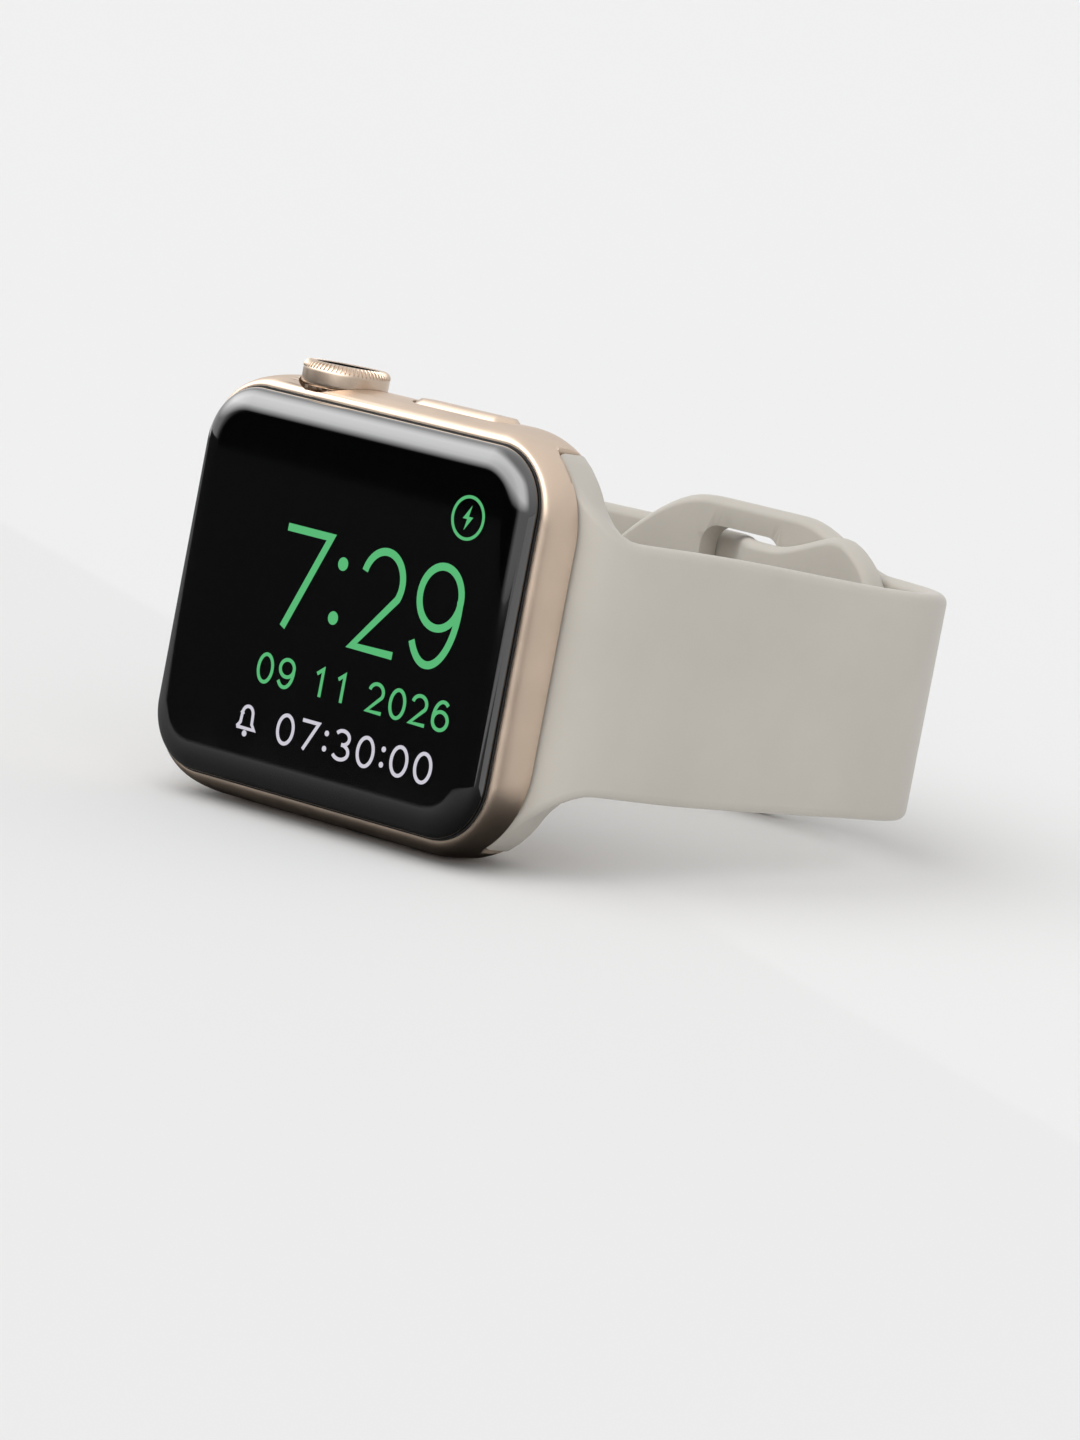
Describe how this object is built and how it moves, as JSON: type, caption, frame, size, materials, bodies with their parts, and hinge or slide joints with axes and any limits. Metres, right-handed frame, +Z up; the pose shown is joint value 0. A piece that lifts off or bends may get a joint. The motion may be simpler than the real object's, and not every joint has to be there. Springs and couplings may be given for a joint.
{
  "type": "smartwatch",
  "caption": "Rectangular smartwatch with a metal case, curved cover glass, rotating crown, side button, sensor back and a closed pin-and-tuck silicone band, lying on its long side.",
  "frame": {"origin": "on the surface that the watch lies on, under the middle of its bounding box", "axes": "+Z up; the display faces -Y and leans back 6.4 degrees, +X runs along the long side of the case, and the crown side is uppermost"},
  "size_m": [0.0536, 0.0528, 0.035],
  "materials": {
    "gold_aluminium": "champagne gold anodised, fine bead-blasted satin",
    "cover_glass": "polished black-backed glass",
    "display": "dark display panel",
    "seal_rubber": "black seal rubber",
    "back_ceramic": "smooth pale zirconia",
    "sensor_crystal": "polished dark crystal",
    "band_silicone": "stone-coloured fluoroelastomer, smooth satin",
    "steel": "fine brushed",
    "brass": "turned brass",
    "copper": "bare copper winding",
    "shield_can": "pressed shield can",
    "sensor_chip": "dark chip",
    "led_lens": "clear green lens",
    "circuit_board": "solder-masked board",
    "battery_wrap": "matt foil wrap",
    "black_plastic": "fine matt black"
  },
  "bodies": {
    "case": {"alignment_magnet": "steel", "antenna_strip": "copper", "back_cover": "back_ceramic", "back_gasket": "seal_rubber", "battery": "battery_wrap", "button_seal": "seal_rubber", "button_switch": "shield_can", "case_body": "gold_aluminium", "charging_coil": "copper", "cover_glass": "cover_glass", "crown_bushing": "brass", "crown_seal": "seal_rubber", "crown_switch": "shield_can", "display_gasket": "seal_rubber", "display_panel": "display", "encoder_sensor": "sensor_chip", "frame_screw_1": "steel", "frame_screw_2": "steel", "frame_screw_3": "steel", "frame_screw_4": "steel", "haptic_motor": "steel", "heart_led_lower": "led_lens", "heart_led_upper": "led_lens", "inner_frame": "steel", "main_board": "circuit_board", "microphone": "shield_can", "photodiode_left": "sensor_chip", "photodiode_right": "sensor_chip", "release_spring_left": "steel", "release_spring_right": "steel", "sensor_board": "circuit_board", "sensor_crystal": "sensor_crystal", "speaker_module": "black_plastic", "system_module": "shield_can"},
    "crown_plunger": {"thrust_plate": "steel"},
    "crown": {"crown_knob": "gold_aluminium", "crown_cap": "black_plastic", "crown_shaft": "steel", "encoder_wheel": "black_plastic"},
    "side_button": {"side_button": "gold_aluminium", "button_plunger": "steel"},
    "release_left": {"release_button_left": "gold_aluminium"},
    "release_right": {"release_button_right": "gold_aluminium"},
    "band": {"strap_short": "band_silicone", "strap_long": "band_silicone", "band_stud": "gold_aluminium"},
    "lug_catch_left": {"lug_pin_left": "steel"},
    "lug_catch_right": {"lug_pin_right": "steel"}
  },
  "joints": [
    {"name": "crown_press", "type": "slide", "parent": "case", "child": "crown_plunger", "axis": [0, -0.1114, -0.9938], "range_m": [0, 0.0003], "stiffness_N_per_m": 500},
    {"name": "crown_spin", "type": "hinge", "parent": "crown_plunger", "child": "crown", "pos_m": [-0.00829, -0.01784, 0.03412], "axis": [0, 0.1114, 0.9938], "continuous": true},
    {"name": "side_button_press", "type": "slide", "parent": "case", "child": "side_button", "axis": [0, -0.1114, -0.9938], "range_m": [0, 0.00025], "stiffness_N_per_m": 500},
    {"name": "release_left_press", "type": "slide", "parent": "case", "child": "release_left", "axis": [0, -0.9938, 0.1114], "range_m": [0, 0.0006], "stiffness_N_per_m": 500},
    {"name": "release_right_press", "type": "slide", "parent": "case", "child": "release_right", "axis": [0, -0.9938, 0.1114], "range_m": [0, 0.0006], "stiffness_N_per_m": 500},
    {"name": "band_slide", "type": "slide", "parent": "case", "child": "band", "axis": [0, 0.1114, 0.9938], "range_m": [0, 0.034]},
    {"name": "lug_catch_left_slide", "type": "slide", "parent": "band", "child": "lug_catch_left", "axis": [-1, 0, 0], "range_m": [0, 0.0006]},
    {"name": "lug_catch_right_slide", "type": "slide", "parent": "band", "child": "lug_catch_right", "axis": [1, 0, 0], "range_m": [0, 0.0006]}
  ],
  "couplings": [
    {"joint": "lug_catch_left_slide", "follows": "release_left_press", "ratio": 1},
    {"joint": "lug_catch_right_slide", "follows": "release_right_press", "ratio": 1}
  ]
}
